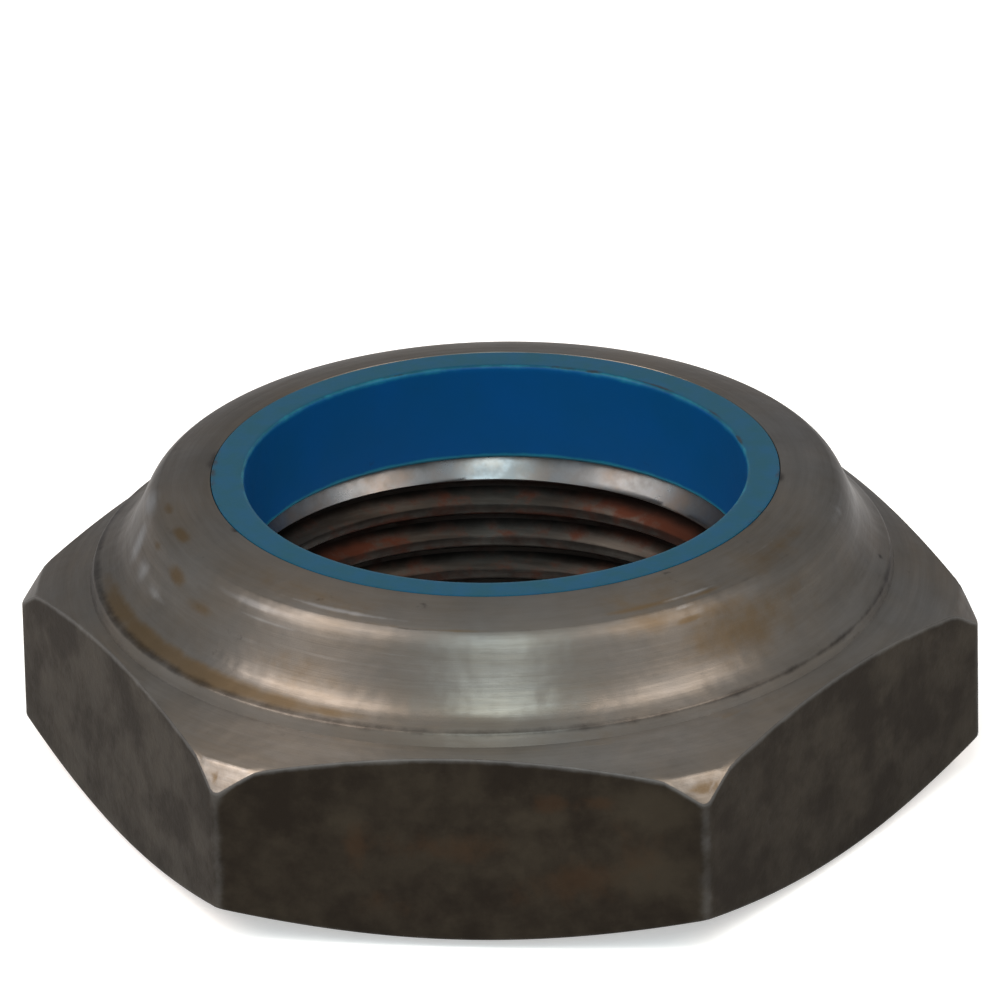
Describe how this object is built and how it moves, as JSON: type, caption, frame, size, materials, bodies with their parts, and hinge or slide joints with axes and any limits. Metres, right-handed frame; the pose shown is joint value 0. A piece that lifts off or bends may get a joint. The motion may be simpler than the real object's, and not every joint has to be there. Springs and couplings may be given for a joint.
{
  "type": "self-locking threaded nut",
  "caption": "Low hexagon nut with a turned collar rolled over a blue plastic locking ring, worn steel, fine internal thread.",
  "frame": {"origin": "centre of the bearing face, on the bore's axis", "axes": "+Z along the bore's axis, from the bearing face to the collar; one flat of the hexagon faces -Y"},
  "size_m": [0.0392, 0.034, 0.013],
  "materials": {
    "worn_steel": "turned and worn, brown patina and light rust",
    "blue_plastic": "satin, lightly soiled"
  },
  "bodies": {
    "root": {"nut_body": "worn_steel", "locking_ring": "blue_plastic"}
  },
  "joints": []
}
